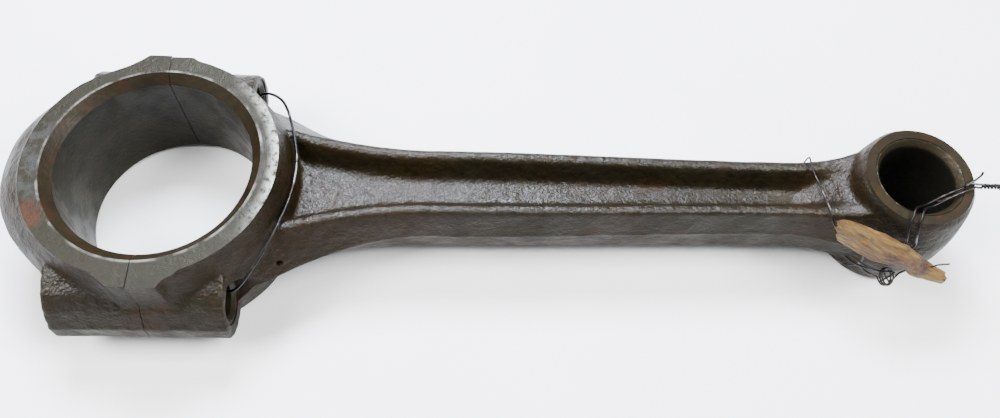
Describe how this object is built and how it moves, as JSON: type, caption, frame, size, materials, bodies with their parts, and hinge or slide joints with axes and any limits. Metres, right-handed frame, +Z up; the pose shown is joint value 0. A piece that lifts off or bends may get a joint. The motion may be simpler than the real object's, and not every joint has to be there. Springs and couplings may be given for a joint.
{
  "type": "connecting rod",
  "caption": "Forged connecting rod with H-section shank, split big end with its bearing cap tied on by wire, bushed small end and a splinter of wood as a tag.",
  "frame": {"origin": "middle of the footprint on the surface that the rod lies on, which is the machined face of the big end", "axes": "+X from the big end to the small end, +Y across the rod, +Z up, along both bores"},
  "size_m": [0.3318, 0.098, 0.0456],
  "materials": {
    "forged_steel": "as forged and machined, dark olive-brown with an oil film and light rust",
    "bronze": "machined bronze, stained dark",
    "dowel_steel": "ground steel",
    "iron_wire": "annealed soft iron wire, dark scale",
    "wood": "split softwood, oil stained"
  },
  "bodies": {
    "rod": {"rod_forging": "forged_steel", "small_end_bush": "bronze", "ring_dowel_near": "dowel_steel", "ring_dowel_far": "dowel_steel", "cap_tie_wire": "iron_wire", "shank_wire": "iron_wire", "eye_wire": "iron_wire"},
    "cap": {"big_end_cap": "forged_steel"},
    "tag": {"wood_tag": "wood", "tag_wire": "iron_wire"}
  },
  "joints": [
    {"name": "cap_lift", "type": "slide", "parent": "rod", "child": "cap", "axis": [-1, 0, 0], "range_m": [0, 0.0024]},
    {"name": "tag_rock", "type": "hinge", "parent": "rod", "child": "tag", "pos_m": [0.11418, -0.016, 0.02647], "axis": [0.8779, -0.3002, 0.373], "range_deg": [-6, 15]}
  ]
}
